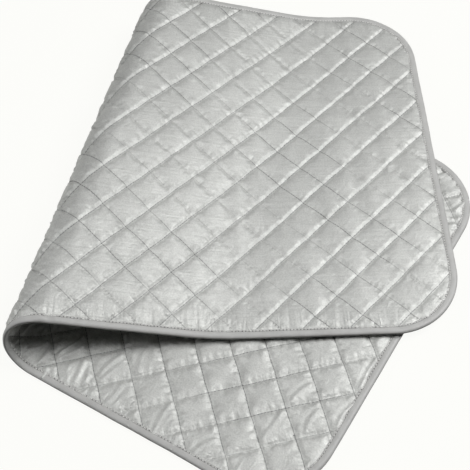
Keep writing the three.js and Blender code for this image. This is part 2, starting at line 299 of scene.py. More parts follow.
def finish_material(tree, inputs, bumps):
    """Stacks bumps, each a pattern with its height in millimetres and its strength, and adds the shader."""
    links = dict(inputs)
    for pattern, height, strength in bumps:
        raised = {"Height": pattern, "Distance": height * MM, "Strength": strength}
        if "Normal" in links:
            raised["Normal"] = links["Normal"]
        links["Normal"] = add_node(tree, "ShaderNodeBump", raised)
    shader = add_node(tree, "ShaderNodeBsdfPrincipled", links)
    add_node(tree, "ShaderNodeOutputMaterial", {"Surface": shader}, output=None)


# Patterns of the coated cloth, drawn as smooth noise: the layout that each runs with, how many of its marks
# there are to a metre along and across that, and the noise's detail, roughness and distortion
CLOTH_PATTERNS = {
    # Patches, about 150 mm apart, where a sewn line's painted groove shade shows more strongly
    "shade_patches": ("moved", 7.0, 7.0, 1.0, 0.5, 0.0),
    # Creases 4 to 7 mm apart that run away from the sewn lines and from the tape's seam
    "first_gather": ("first", 170.0, 22.0, 2.0, 0.55, 0.6),
    "second_gather": ("second", 170.0, 22.0, 2.0, 0.55, 0.6),
    "edge_gather": ("flat", 140.0, 16.0, 2.0, 0.5, 0.4),
    # Faint warp streaks, about 2 mm apart and a hand's width long
    "streak": ("flat", 16.0, 430.0, 2.0, 0.5, 0.0),
    # Soft bands down the weft, where the cloth was rolled, 25 mm apart
    "rolled": ("flat", 38.0, 7.0, 1.5, 0.5, 0.0),
    # Soft clouds in the coating, 30 mm across
    "cloud": ("flat", 33.0, 33.0, 6.0, 0.75, 0.0),
    # Flecks of the pigment: real ones are under 0.2 mm, drawn at 1.7 mm so that they show
    "fleck": ("flat", 600.0, 600.0, 1.0, 0.6, 0.0),
    # Crumples from handling, 8 mm across
    "crumple": ("flat", 120.0, 120.0, 3.0, 0.7, 1.2),
}
SHADE_PATCH_SHIFT = (0.05, 0.062, 0.0)

# The part of its range that most of a noise lies in
NOISE = (0.3, 0.7)

# Plain weave: real threads are 0.3 mm apart, drawn at 1.6 mm so that they show
WEAVE_SCALE = 1 / (1.6 * MM)

# The tape's rib and the twist of the thread as slanting waves: real ribs are 0.25 mm apart and real turns
# 0.6 mm, drawn at 3.4 and 2.8 mm so that they show
RIB_SCALE = 130.0
TWIST_SCALE = 160.0

# How far from the tape's seam it gathers the cloth, in millimetres
EDGE_GATHER_REACH = 38.0


def coated_cloth():
    """Silver-coated polyester taffeta: woven, then coated with aluminium pigment.

    To the eye it is a pale grey with a soft metallic sheen, fine creases where a seam gathers it, faint
    streaks along the warp, and a dark row of painted shade down each sewn line for its groove and holes.
    """
    look = bpy.context.scene.pad_cloth
    stitch = bpy.context.scene.pad_thread.stitch
    material, tree = new_material("silver_coated_taffeta")
    flat = add_node(tree, "ShaderNodeUVMap", uv_map="Flat")
    split = add_node(tree, "ShaderNodeSeparateXYZ", {"Vector": flat}, output=None)
    u, v = split.outputs["X"], split.outputs["Y"]
    fall = add_node(tree, "ShaderNodeMath", {0: u, 1: v}, operation="SUBTRACT")
    climb = add_node(tree, "ShaderNodeMath", {0: u, 1: v}, operation="ADD")
    layouts = {
        "flat": flat,
        "moved": add_node(tree, "ShaderNodeVectorMath", {0: flat, 1: SHADE_PATCH_SHIFT}, operation="ADD"),
        "first": add_node(tree, "ShaderNodeCombineXYZ", {"X": climb, "Y": fall}),
        "second": add_node(tree, "ShaderNodeCombineXYZ", {"X": fall, "Y": climb}),
    }
    drawn = {}
    for name, (layout, along, across, detail, roughness, distortion) in CLOTH_PATTERNS.items():
        scaled = {0: layouts[layout], 1: (along, across, 0.0)}
        place = add_node(tree, "ShaderNodeVectorMath", scaled, operation="MULTIPLY")
        noise = {"Vector": place, "Scale": 1.0, "Detail": detail}
        noise.update({"Roughness": roughness, "Distortion": distortion})
        drawn[name] = add_node(tree, "ShaderNodeTexNoise", noise, output="Fac", noise_dimensions="2D")
    weave = add_node(tree, "ShaderNodeTexChecker", {"Vector": flat, "Scale": WEAVE_SCALE}, output="Fac")

    # Each sewn line is painted darker in its groove, and darker still at its needle holes, as shade. On the
    # looser second lines this painted shade is faint outside patches. Beside it the cloth is gathered, for a
    # third of a cell.
    sewn = 0.0
    side = add_node(tree, "ShaderNodeMath", {0: v}, operation="ABSOLUTE")
    edge = WIDTH / 2 - TAPE_SEAM
    gathers = [("edge_gather", side, (edge - EDGE_GATHER_REACH) * MM, edge * MM, 0.0, 2.2)]
    per_line = 1 / (PITCH * MM * math.sqrt(2))
    per_stitch = 1 / (math.sqrt(2) * stitch)
    families = (("first_gather", fall, climb, 0.0, 0.85), ("second_gather", climb, fall, 0.5, 0.15))
    for gather, across, way, shift, least in families:
        counted = {0: across, 1: per_line, 2: -shift}
        lines = add_node(tree, "ShaderNodeMath", counted, operation="MULTIPLY_ADD")
        off = add_node(tree, "ShaderNodeMath", {0: lines, 1: 0.5}, operation="PINGPONG")
        steps = add_node(tree, "ShaderNodeMath", {0: way, 1: per_stitch}, operation="MULTIPLY")
        hole = add_node(tree, "ShaderNodeMath", {0: steps, 1: 0.5}, operation="PINGPONG")
        painted_groove_shade = (
            (off, 0.004, 0.018, 1.0, 0.0),
            (hole, 0.1, 0.3, 1.0, 0.75),
            (drawn["shade_patches"], 0.4, 0.6, least, 1.0),
        )
        sewn = add_node(tree, "ShaderNodeMath", {0: sewn, 1: product(tree, painted_groove_shade)}, operation="MAXIMUM")
        gathers.append((gather, off, 0.02, 0.34, 1.0, 0.0))
    gathered = 0.0
    for name, *reach in gathers:
        near = product(tree, (reach,), interpolation_type="SMOOTHSTEP")
        sums = {0: drawn[name], 1: near, 2: gathered}
        gathered = add_node(tree, "ShaderNodeMath", sums, operation="MULTIPLY_ADD")

    tints = (
        (drawn["cloud"], *NOISE, 0.95, 1.04),
        (drawn["streak"], *NOISE, 0.965, 1.03),
        (drawn["fleck"], *NOISE, 0.92, 1.08),
        (drawn["rolled"], 0.35, 0.65, 0.97, 1.04),
    )
    plain = tinted(tree, look.colour, tints)
    # A Mix node's colour sockets share their names with others, so they go by place
    # The painted groove shade mixes the cloth's colour towards this darker one down each sewn line
    mixed = {0: sewn, 6: plain, 7: (*look.groove_shade_colour, 1)}
    coloured = add_node(tree, "ShaderNodeMix", mixed, output=2, data_type="RGBA")
    rough = product(tree, ((drawn["crumple"], *NOISE, 0.5, 0.62),))
    bumps = (
        (gathered, 0.6, 1.0),
        (drawn["rolled"], 1.2, 1.0),
        (drawn["crumple"], 0.45, 1.0),
        (drawn["streak"], 0.25, 1.0),
        (weave, 0.03, 1.0),
    )
    finish_material(tree, {"Base Color": coloured, "Roughness": rough, "Metallic": 0.4}, bumps)
    return material


def bias_tape():
    """Polyester satin bias tape, woven and cut on the bias: a smooth mid grey with a fine slanting rib."""
    look = bpy.context.scene.pad_binding
    material, tree = new_material("satin_bias_tape")
    flat = add_node(tree, "ShaderNodeUVMap", uv_map="Flat")
    rib = add_node(
        tree,
        "ShaderNodeTexWave",
        {"Vector": flat, "Scale": RIB_SCALE, "Distortion": 0.8, "Detail": 1.0},
        output="Fac",
        wave_type="BANDS",
        bands_direction="DIAGONAL",
    )
    # Soft clouds, 17 mm across
    cloud = add_node(
        tree,
        "ShaderNodeTexNoise",
        {"Vector": flat, "Scale": 60.0, "Detail": 3.0, "Roughness": 0.6},
        output="Fac",
        noise_dimensions="2D",
    )
    # The two grooves of its seam and the fold along the middle of the edge are painted darker, as shade
    last = 2 * len(TAPE_HALF)
    grooves = [(TAPE_GIRTH[i] + TAPE_GIRTH[i + 1]) / 2 for i in (GROOVE, last - GROOVE - 1)]
    shades = [(place, 0.3, 0.85, 0.2) for place in grooves]
    shades.append((TAPE_GIRTH[len(TAPE_HALF)], 0.5, 1.6, 0.4))
    girth = add_node(tree, "ShaderNodeSeparateXYZ", {"Vector": flat}, output="Y")
    tints = [(cloud, *NOISE, 0.94, 1.05)]
    for place, dark_to, light_from, shade in shades:
        off = add_node(tree, "ShaderNodeMath", {0: girth, 1: place * MM}, operation="SUBTRACT")
        near = add_node(tree, "ShaderNodeMath", {0: off}, operation="ABSOLUTE")
        tints.append((near, dark_to * MM, light_from * MM, shade, 1.0))
    tone = tinted(tree, look.colour, tints)
    rough = product(tree, ((cloud, *NOISE, 0.42, 0.55),))
    bumps = ((cloud, 0.5, 0.7), (rib, 0.06, 0.8))
    finish_material(tree, {"Base Color": tone, "Roughness": rough, "Sheen Weight": 0.2}, bumps)
    return material


def spun_thread(name, colour):
    """Spun polyester sewing thread: pale and matte, with the twist of its plies as a fine slanting line."""
    material, tree = new_material(name)
    flat = add_node(tree, "ShaderNodeUVMap", uv_map="Flat")
    twist = add_node(
        tree,
        "ShaderNodeTexWave",
        {"Vector": flat, "Scale": TWIST_SCALE, "Distortion": 0.5},
        output="Fac",
        wave_type="BANDS",
        bands_direction="DIAGONAL",
    )
    tone = tinted(tree, colour, ((twist, 0.0, 1.0, 0.86, 1.05),))
    finish_material(tree, {"Base Color": tone, "Roughness": 0.55}, ((twist, 0.1, 0.6),))
    return material


def bend_window(index):
    """Two places across the fold for a length of the mat: just inside its strip, or either side of the bend.
    """
    if index == len(LENGTHS) - 1:
        return BEND_HINGE - BEND_HALF, BEND_HINGE + BEND_HALF
    return index * STRIP + CUT_MARGIN, (index + 1) * STRIP - CUT_MARGIN


def place_piece(kind, index, points, faces, flats, bakes, material, parts):
    """Makes one length of a piece and puts it in place of its nodes, which it hides."""
    name, first, second, sections = LENGTHS[index]
    mesh = bpy.data.meshes.new(f"{kind}_{name}")
    mesh.from_pydata(points.tolist(), [], faces)
    for layer_name, places in (("Flat", flats), ("OFBake", bakes)):
        layer = mesh.uv_layers.new(name=layer_name)
        layer.data.foreach_set("uv", np.asarray(places, np.float32).ravel())
    mesh.uv_layers.active = mesh.uv_layers["OFBake"]
    mesh.materials.append(material)
    mesh.shade_smooth()
    piece = bpy.data.objects.new(f"{kind}_{name}", mesh)
    bpy.context.scene.collection.objects.link(piece)
    start, end = (folded(*flat_at(across, 0.0), 0.0) for across in bend_window(index))
    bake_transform(piece)
    wanted = [f"{section}_{part}" for section in sections for part in parts]
    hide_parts(*[node for node in wanted if node in frame["nodes"]])
    return piece


# The bake's picture: the margin at its sides, and the room that is left free beyond a piece
BAKE_MARGIN = 0.005
BAKE_ROOM = 1.02


def bake_places(across, along, side):
    """Places on the bake's picture: the face cloth on its left half and the backing on its right."""
    span = max(2 * np.ptp(across), np.ptp(along)) * BAKE_ROOM
    x = (across - across.min()) / span + np.where(side > 0, BAKE_MARGIN, 0.5 + BAKE_MARGIN)
    y = (along - along.min()) / span + BAKE_MARGIN
    return np.stack([x, y], -1)


# The cloth's grid runs with the sewn lines, so that each line falls on a row of its points
GRID_PER_CELL = 16
HALF_CELL = GRID_PER_CELL // 2
GRID = PITCH / GRID_PER_CELL
RIM_INSET = 1.4
RIM_ROOM = 0.6
LINE_COUNT = 64
TAPE_WIDTH = 9.4
TAPE_SEAM = 7.9
TINY = 1e-6

# A sewn line strays in a slow and a quick wave: the share of each, and its length for one radian
SWAYS = ((0.6, 17.0), (0.4, 5.3))


def sway_at(family, line, way):
    """How far a sewn line strays to its side at a way along it."""
    phases = np.random.default_rng(SEED).uniform(0, 2 * np.pi, (2, 2 * LINE_COUNT, 2))[family]
    chosen = phases[np.asarray(line) + LINE_COUNT]
    waves = [share * np.sin(way / length + chosen[..., i]) for i, (share, length) in enumerate(SWAYS)]
    return bpy.context.scene.pad_cloth.sway / MM * sum(waves)


def strayed(a, b):
    """Where a point of the lattice comes to lie once the sewn lines stray."""
    shifts = []
    for family, place, way in ((0, a, b), (1, b - PITCH / 2, a)):
        line = np.floor(place / PITCH + TINY).astype(int)
        share = smooth(place / PITCH - line)
        here, there = sway_at(family, line, way), sway_at(family, line + 1, way)
        shifts.append((1 - share) * here + share * there)
    return a + shifts[0], b + shifts[1]


def lattice_to_flat(a, b):
    """The flat point at a place on the lattice of sewn lines."""
    return (a + b) / math.sqrt(2), (b - a) / math.sqrt(2)


def cloth_grid():
    """The flat mat as a grid along its sewn lines: its points on the lattice, its quads and its rim."""
    last = int((LENGTH + WIDTH) / math.sqrt(2) / GRID) + 2
    first = -int(WIDTH / GRID)
    row, column = np.meshgrid(np.arange(first, last), np.arange(first, last), indexing="ij")
    u, v = lattice_to_flat(row * GRID, column * GRID)
    middle_u, middle_v = (u[:-1, :-1] + u[1:, 1:]) / 2, (v[:-1, :-1] + v[1:, 1:]) / 2
    keep = inset_at(middle_u, middle_v) > RIM_INSET + RIM_ROOM
    number = np.arange(u.size).reshape(u.shape)
    corners = (number[:-1, :-1], number[1:, :-1], number[1:, 1:], number[:-1, 1:])
    quads = np.stack([corner[keep] for corner in corners], 1)
    used, quads = np.unique(quads, return_inverse=True)
    quads = quads.reshape(-1, 4)
    rim = np.bincount(quads.ravel(), minlength=len(used)) < 4
    return row.ravel()[used], column.ravel()[used], quads, rim


def drawn_to_rim(u, v, rim):
    """Brings the grid's ragged rim onto the mat's cut edge."""
    centre_u = np.clip(u, CORNER, LENGTH - CORNER)
    centre_v = np.clip(v, CORNER - WIDTH / 2, WIDTH / 2 - CORNER)
    out_u, out_v = u - centre_u, v - centre_v
    far = np.maximum(np.hypot(out_u, out_v), TINY)
    share = np.where(rim, (CORNER - RIM_INSET) / far, 1.0)
    return centre_u + out_u * share, centre_v + out_v * share


# How the cloth is held: how deep the needle draws it in, how much deeper in the backing, and how far the
# second lines of the face rise between the first
NEEDLE_DIP = 0.35
BACK_DIP = 0.4
SLACK = 1.3
SLACK_REACH = 11.0

# Its spare cloth: over the cells, within a reach of the seams and of the tape, round the loop and in the fold
CELL_EASE = (0.7, 0.6)
GATHER_REACH = 8.0
RIM_REACH = 14.0
TAPE_GATHER = {1: 1.0, -1: 0.4}
LOOP_EASE = 0.035
BACK_GATHER = 0.015
CREASED_EASE = 0.03
ROUGH_START = 0.35

# It is inflated at ten times its size
SIM_SCALE = 10.0
SIM_FRAMES = 8
CLOTH_SETTINGS = {
    "quality": 4,
    "mass": 0.3,
    "tension_stiffness": 120,
    "compression_stiffness": 120,
    "shear_stiffness": 6,
    "bending_stiffness": 0.002,
    "air_damping": 1,
    "vertex_group_mass": "held",
    "vertex_group_shrink": "tight",
    "use_pressure": True,
}


def cell_at(row, column):
    """Which cell of the lattice a point of the grid lies in, counted from 0."""
    return tuple(np.floor_divide(x, GRID_PER_CELL) + 2 * LINE_COUNT for x in (row, column - HALF_CELL))


def off_lines(row, column):
    """How far a point of the grid lies from the nearest first and second sewn line."""
    return tuple(np.abs(np.mod(x, GRID_PER_CELL) - HALF_CELL) * GRID for x in (row + HALF_CELL, column))


def sewn_height(side, off):
    """How far a sewn line lies over the mat's middle, off being how far it is from the nearest first line.

    On the face the second lines were sewn more loosely than the first, so they rise between them.
    """
    rise = SLACK * smooth(off / SLACK_REACH) if side > 0 else np.full(len(off), -BACK_DIP)
    return HALF_SEAM - NEEDLE_DIP + rise


def spare_cloth(side, u, v, row, column, by_cell):
    """How much spare cloth there is at each point, as a share."""
    look = bpy.context.scene.pad_cloth
    by_seam = np.clip(1 - np.minimum(*off_lines(row, column)) / GATHER_REACH, 0, 1)
    by_tape = TAPE_GATHER[side] * np.clip(1 - (inset_at(u, v) - TAPE_SEAM) / RIM_REACH, 0, 1)
    least, spread = CELL_EASE
    ease = look.ease * (least + spread * by_cell) + look.gather * np.maximum(by_seam, by_tape)
    if side > 0:
        return ease + LOOP_EASE * within(across_at(u, v), LOOP_SPAN)
    # The backing has more to spare, most of all inside the fold
    return ease + (BACK_GATHER * by_seam + CREASED_EASE * within(across_at(u, v), CREASED_SPAN))


def swell(side, u, v, row, column, quads, pinned):
    """Inflates one cloth of the folded mat between its sewn lines, and returns its points in metres."""
    scene = bpy.context.scene
    chance = np.random.default_rng(SEED + (side > 0))
    by_cell = chance.random((4 * LINE_COUNT, 4 * LINE_COUNT))[cell_at(row, column)]
    ease = spare_cloth(side, u, v, row, column, by_cell)
    height = HALF_SEAM + ROUGH_START * chance.random(len(u))
    under_tape = inset_at(u, v) < TAPE_SEAM
    sewn = sewn_height(side, off_lines(row, column)[0])
    height[pinned] = np.where(under_tape, HALF_SEAM - NEEDLE_DIP, sewn)[pinned]

    mesh = bpy.data.meshes.new("swelling_cloth")
    base = folded(u, v, side * height) * SIM_SCALE
    mesh.from_pydata(base.tolist(), [], quads[:, :: int(side)].tolist())
    cloth = bpy.data.objects.new("swelling_cloth", mesh)
    scene.collection.objects.link(cloth)
    held = cloth.vertex_groups.new(name="held")
    held.add(np.nonzero(pinned)[0].tolist(), 1.0, "REPLACE")
    tight = cloth.vertex_groups.new(name="tight")
    tightness = np.round((ease.max() - ease) / np.ptp(ease), 2)
    for weight in np.unique(tightness):
        tight.add(np.nonzero(tightness == weight)[0].tolist(), float(weight), "REPLACE")
    modifier = cloth.modifiers.new("Cloth", "CLOTH")
    settings = modifier.settings
    for name, value in CLOTH_SETTINGS.items():
        setattr(settings, name, value)
    settings.shrink_min = -float(ease.max())
    settings.shrink_max = -float(ease.min())
    settings.uniform_pressure_force = scene.pad_cloth.pressure
    settings.effector_weights.gravity = 0
    modifier.point_cache.frame_start = 1
    modifier.point_cache.frame_end = SIM_FRAMES
    for step in range(1, SIM_FRAMES + 1):
        scene.frame_set(step)
    swollen = cloth.evaluated_get(bpy.context.evaluated_depsgraph_get())
    places = np.zeros(len(u) * 3, np.float32)
    swollen.data.vertices.foreach_get("co", places)
    scene.frame_set(1)
    bpy.data.objects.remove(cloth)
    bpy.data.meshes.remove(mesh)
    return places.reshape(-1, 3).astype(float) / SIM_SCALE


# How close the face comes to the table, and the least share of a height that counts as towards it
TABLE_GAP = 0.05
TABLE_KNEE = 0.5
UPRIGHT = 0.05

# How far the wadding lets a crown rise, and how much further round the loop. Between the leaves the backing
# may rise a little over its crown, and further where they stand open.
CROWN_LIMIT = 4.2
CROWN_KNEE = 2.2
LOOP_LIMIT = 1.5
LEAF_LIMIT = HALF_CROWN + 0.15
LEAF_KNEE = 1.0
OPEN_LIMIT = 6.0
QUILTED_FADE = 6.0

# The creases of the backing: their slant to the fold in degrees and how far it varies, how they curve, where
# the first lies, how far off the others are and how they fan out, in millimetres
CREASE_SLANT = -23.0
CREASE_SPREAD = 40.0
CREASE_CURVE = 30.0
CREASE_START = 8.0
CREASE_APART = 9.0
CREASE_SPACING = (0.7, 0.6)
CREASE_FAN = 0.7
CREASE_HALF = 1.65
CREASE_RISE = 1.7
CREASE_DIP = 0.45
CREASE_FADE = 5.0
LONE_CREASES = 0.3

# They stand higher where the fold squeezes the backing: how much, from where and over how far
SQUEEZE = 0.7
SQUEEZE_START = -70.0
SQUEEZE_FADE = 60.0

# The needle pulls small puckers into the cloth beside a sewn line, more into the backing than into the face.
# On the face the foot of the machine also pushed cloth up along one side of each first line.
PUCKER_PEAK = 3.0
PUCKER_RISE = {1: 0.35, -1: 0.75}
SHOULDER_PEAK = 2.8
SHOULDER_RISE = 1.1
SHOULDER_PULL = 0.9


def over_table(across):
    """How far the face of the mat may rise before it meets the table, which only the lower leaf lies on."""
    _, rise, turn = fold_line(across)
    return (HALF_EDGE - TABLE_GAP + rise) / np.maximum(np.cos(turn), UPRIGHT)


def soft_limit(height, limit, knee):
    """Heights over limit - knee come to rest under limit."""
    over = np.maximum(height - (limit - knee), 0)
    return np.where(over > 0, limit - knee * np.exp(-over / knee), height)


def ridge(away):
    """A crease with a dip on one side of it."""
    far = away / CREASE_HALF
    return np.exp(-(far**2)) - CREASE_DIP * np.exp(-((far - 2.0) ** 2))


def creases(u, v, row, column):
    """How far creases raise the backing: a few in each cell near the fold that run with it, few elsewhere."""
    pick = np.random.default_rng(SEED + 9).random((6, 4 * LINE_COUNT, 4 * LINE_COUNT))
    pick = pick[:, *cell_at(row, column)]
    du, dv = lattice_to_flat(
        (np.mod(row, GRID_PER_CELL) - HALF_CELL) * GRID,
        (np.mod(column - HALF_CELL, GRID_PER_CELL) - HALF_CELL) * GRID,
    )
    over, way = du * SKEW_COS - dv * SKEW_SIN, du * SKEW_SIN + dv * SKEW_COS
    slant = np.radians(CREASE_SLANT + CREASE_SPREAD * (pick[0] - 0.5))
    away = over * np.cos(slant) - way * np.sin(slant) + (pick[1] - 0.5) * way**2 / CREASE_CURVE
    across = across_at(u, v)
    near = within(across, CREASED_SPAN)
    first = CREASE_START * (pick[2] - 0.5)
    ridges = ridge(away - first) * np.maximum(near, pick[5] > 1 - LONE_CREASES)
    least, spread = CREASE_SPACING
    for shift, chosen, fan in ((-CREASE_APART, pick[3], pick[4]), (CREASE_APART, pick[4], pick[5])):
        place = first + shift * (least + spread * fan) + CREASE_FAN * (fan - 0.5) * way
        ridges += near * chosen * ridge(away - place)
    squeezed = 1 + SQUEEZE * smooth((across - SQUEEZE_START) / SQUEEZE_FADE)
    return CREASE_RISE * squeezed * ridges * smooth(np.minimum(*off_lines(row, column)) / CREASE_FADE)


def beside(off, peak):
    """Zero on a sewn line, one at a peak beside it, and less and less further off."""
    return off / peak * np.exp(1 - off / peak)


def puckers(side, row, column):
    """How far the cloth rises beside the sewn lines: puckers along them all, and the shoulder on the face."""
    chance = np.random.default_rng(SEED + 12 + side)
    rise = np.zeros(len(row))
    for place, way in ((row + HALF_CELL, column), (column, row)):
        pulls = chance.uniform(-1, 1, (4 * LINE_COUNT, 4 * LINE_COUNT * GRID_PER_CELL))
        line, step = np.divmod(place, GRID_PER_CELL)
        pull = pulls[line + 2 * LINE_COUNT, way + 2 * LINE_COUNT * GRID_PER_CELL]
        off = np.abs(step - HALF_CELL) * GRID
        rise += PUCKER_RISE[side] * pull * beside(off, PUCKER_PEAK)
        if side > 0 and way is column:
            shoulder = SHOULDER_RISE * (1 + SHOULDER_PULL * pull) * beside(off, SHOULDER_PEAK)
            rise += shoulder * (step < HALF_CELL)
    return rise


def pressed(side, u, v, row, column, places):
    """Levels each crown, creases the backing, and flattens what rests on the table or the other leaf."""
    across = across_at(u, v)
    middle = folded(u, v, 0.0)
    out = (folded(u, v, 1.0) - middle) / MM * side
    height = np.einsum("ij,ij->i", places - middle, out) / MM
    quilted = smooth((inset_at(u, v) - TAPE_SEAM) / QUILTED_FADE)
    limit = CROWN_LIMIT + LOOP_LIMIT * within(across, LOOP_SPAN)
    lying = soft_limit(height + puckers(side, row, column) * quilted, limit, CROWN_KNEE)
    if side > 0:
        lying = soft_limit(lying, over_table(across), TABLE_KNEE)
    else:
        limit = LEAF_LIMIT + OPEN_LIMIT * within(across, OPEN_SPAN)
        lying = soft_limit(lying + creases(u, v, row, column), limit, LEAF_KNEE)
    return places + out * ((lying - height) * MM)[:, None]


def smooth_normals(places, quads):
    """Each point's normal from the quads round it."""
    a, b, c, d = (places[quads[:, i]] for i in range(4))
    facing = np.cross(c - a, d - b)
    normals = np.zeros_like(places)
    for i in range(4):
        np.add.at(normals, quads[:, i], facing)
    return normals / np.linalg.norm(normals, axis=1)[:, None]


def cut_in_lengths(quads, across):
    """Divides the grid on the cut lines: new points as (from, to, share), and the faces of each length."""
    band = np.searchsorted(CUTS, across)
    lengths = [[] for _ in LENGTHS]
    of_quad = band[quads]
    whole = (of_quad == of_quad[:, :1]).all(1)
    for index, faces in enumerate(lengths):
        faces.extend(quads[whole & (of_quad[:, 0] == index)].tolist())
    points = []
    numbers = {}
    for quad in quads[~whole].tolist():
        low = min(band[i] for i in quad)
        sides = ([], [])
        for i, j in zip(quad, quad[1:] + quad[:1]):
            sides[band[i] - low].append(i)
            if band[i] != band[j]:
                ends = (min(i, j), max(i, j))
                if ends not in numbers:
                    numbers[ends] = len(across) + len(points)
                    share = (CUTS[low] - across[ends[0]]) / (across[ends[1]] - across[ends[0]])
                    points.append((*ends, share))
                for part in sides:
                    part.append(numbers[ends])
        lengths[low].append(sides[0])
        lengths[low + 1].append(sides[1])
    return points, lengths


def rim_edges(faces):
    """The edges that only one face uses, each in that face's direction."""
    edges = set()
    for face in faces:
        for i, j in zip(face, face[1:] + face[:1]):
            if (j, i) in edges:
                edges.remove((j, i))
            else:
                edges.add((i, j))
    return sorted(edges)


class PAD_OT_quilt(bpy.types.Operator):
    """Makes the padded body: face cloth and backing, swollen between the sewn lines and closed at the rim"""

    bl_idname = "pad.quilt"
    bl_label = "Quilted cloth"

    def execute(self, context):
        row, column, quads, rim = cloth_grid()
        lattice = lattice_to_flat(row * GRID, column * GRID)
        u, v = drawn_to_rim(*lattice_to_flat(*strayed(row * GRID, column * GRID)), rim)
        flat_u, flat_v = np.where(rim, u, lattice[0]), np.where(rim, v, lattice[1])
        on_line = (row % GRID_PER_CELL == 0) | ((column - HALF_CELL) % GRID_PER_CELL == 0)
        pinned = on_line | (inset_at(u, v) < TAPE_SEAM)
        points, lengths = cut_in_lengths(quads, across_at(u, v))
        start, end, share = (np.array(x) for x in zip(*points))

        def with_cuts(values):
            part = share if values.ndim == 1 else share[:, None]
            return np.concatenate([values, values[start] + (values[end] - values[start]) * part])

        sides = []
        for side in (1, -1):
            places = swell(side, u, v, row, column, quads, pinned)
            places = pressed(side, u, v, row, column, places)
            normals = smooth_normals(places, quads) * side
            sides.append((with_cuts(places), with_cuts(normals)))
        flats = np.stack([with_cuts(flat_u), with_cuts(flat_v)], -1) * MM
        across, along = with_cuts(across_at(u, v)), with_cuts(along_at(u, v))
        material = coated_cloth()
        for index, faces in enumerate(lengths):
            used, places_in = np.unique(np.concatenate(faces), return_inverse=True)
            local = iter(places_in.tolist())
            front = [[next(local) for _ in face] for face in faces]
            count = len(used)
            back = [[i + count for i in reversed(face)] for face in front]
            walls = [[j, i, i + count, j + count] for i, j in rim_edges(front)]
            whole = front + back + walls
            corners = np.concatenate(whole)
            both = np.concatenate([used, used])
            bakes = bake_places(across[both], along[both], np.repeat([1, -1], count))
            points, normals = (np.concatenate([part[used] for part in pair]) for pair in zip(*sides))
            piece = place_piece(
                "quilt",
                index,
                points,
                whole,
                flats[both][corners],
                bakes[corners],
                material,
                ("face_cloth", "wadding", "backing_cloth"),
            )
            piece.data.normals_split_custom_set_from_vertices(normals.tolist())
        return {"FINISHED"}


# A stitch: half a length forward and back, then to its side and out of the cloth in thread widths
STITCH_RING = ((1.0, 0.1), (0.0, 1.0), (-1.0, 0.1), (0.0, -0.7))
STITCH_POINTS = np.array(
    [(-0.5, 0.0, -1.3)]
    + [(-0.34, side, out) for side, out in STITCH_RING]
    + [(0.34, side, out) for side, out in STITCH_RING]
    + [(0.5, 0.0, -1.3)]
)
STITCH_FACES = [[0, 1 + (i + 1) % 4, 1 + i] for i in range(4)]
STITCH_FACES += [[1 + i, 1 + (i + 1) % 4, 5 + (i + 1) % 4, 5 + i] for i in range(4)]
STITCH_FACES += [[9, 5 + i, 5 + (i + 1) % 4] for i in range(4)]

# How much of its step a stitch fills, how far it lies over the cloth, how far it may turn in radians, and how
# far from the tape the quilting ends
STITCH_FILL = 0.86
STITCH_LIFT = 0.05
STITCH_TURN = 0.05
STITCH_MARGIN = 1.5
SEWN_LINES = range(-30, 40)


def sew(kind, u, v, du, dv, height, side, radius, material, parts):
    """Puts a stitch at each flat point, along (du, dv), at a height over the mat's middle on one side."""
    look = bpy.context.scene.pad_thread
    forward, sideways, out = STITCH_POINTS.T
    forward = forward * STITCH_FILL * look.stitch / MM
    flat_u = u[:, None] + forward * du[:, None] - sideways * radius * dv[:, None]
    flat_v = v[:, None] + forward * dv[:, None] + sideways * radius * du[:, None]
    height = side[:, None] * (height[:, None] + out * radius)
    places = folded(flat_u, flat_v, np.minimum(height, over_table(across_at(flat_u, flat_v))))
    bands = np.searchsorted(CUTS, across_at(u, v))
    for index in range(len(LENGTHS)):
        chosen = np.nonzero(bands == index)[0]
        points = places[chosen].reshape(-1, 3)
        faces = []
        for number, stitch in enumerate(chosen):
            offset = number * len(STITCH_POINTS)
            for face in STITCH_FACES:
                corners = [offset + i for i in face]
                faces.append(corners if side[stitch] > 0 else corners[::-1])
        corners = np.concatenate(faces)
        uu, vv = flat_u[chosen].ravel(), flat_v[chosen].ravel()
        sides = np.repeat(side[chosen], len(STITCH_POINTS))
        bakes = bake_places(across_at(uu, vv), along_at(uu, vv), sides)
        flats = np.stack([uu, vv], -1) * MM
        place_piece(kind, index, points, faces, flats[corners], bakes[corners], material, parts)


class PAD_OT_quilting(bpy.types.Operator):
    """Sews the diamonds: a row of single stitches down every line, on the face and on the backing"""

    bl_idname = "pad.quilting"
    bl_label = "Quilting stitches"

    def execute(self, context):
        look = context.scene.pad_thread
        stitch = look.stitch / MM
        thread = spun_thread("grey_spun_polyester_thread", look.quilting_colour)
        chance = np.random.default_rng(SEED + 5)
        reach = int((LENGTH + WIDTH) / stitch)
        way = (np.arange(-reach, reach) + 0.5) * stitch
        lattice = []
        for line in SEWN_LINES:
            lattice.append((np.full(len(way), line * PITCH), way, np.zeros(len(way))))
            lattice.append((way, np.full(len(way), (line + 0.5) * PITCH), np.ones(len(way))))
        a, b, family = (np.concatenate(x) for x in zip(*lattice))
        u, v = lattice_to_flat(*strayed(a, b))
        inside = inset_at(u, v) > TAPE_WIDTH + STITCH_MARGIN
        u, v, family, a = u[inside], v[inside], family[inside], a[inside]
        off = np.abs(np.mod(a + PITCH / 2, PITCH) - PITCH / 2)
        slant = np.where(family > 0, math.pi / 4, 3 * math.pi / 4) + chance.normal(0, STITCH_TURN, len(u))
        du, dv = np.cos(slant), np.sin(slant)
        for side, word in ((1, "face"), (-1, "back")):
            height = sewn_height(side, off) + STITCH_LIFT
            sides = np.full(len(u), side)
            sew(f"quilting_{word}", u, v, du, dv, height, sides, look.radius / MM, thread, ())
        return {"FINISHED"}


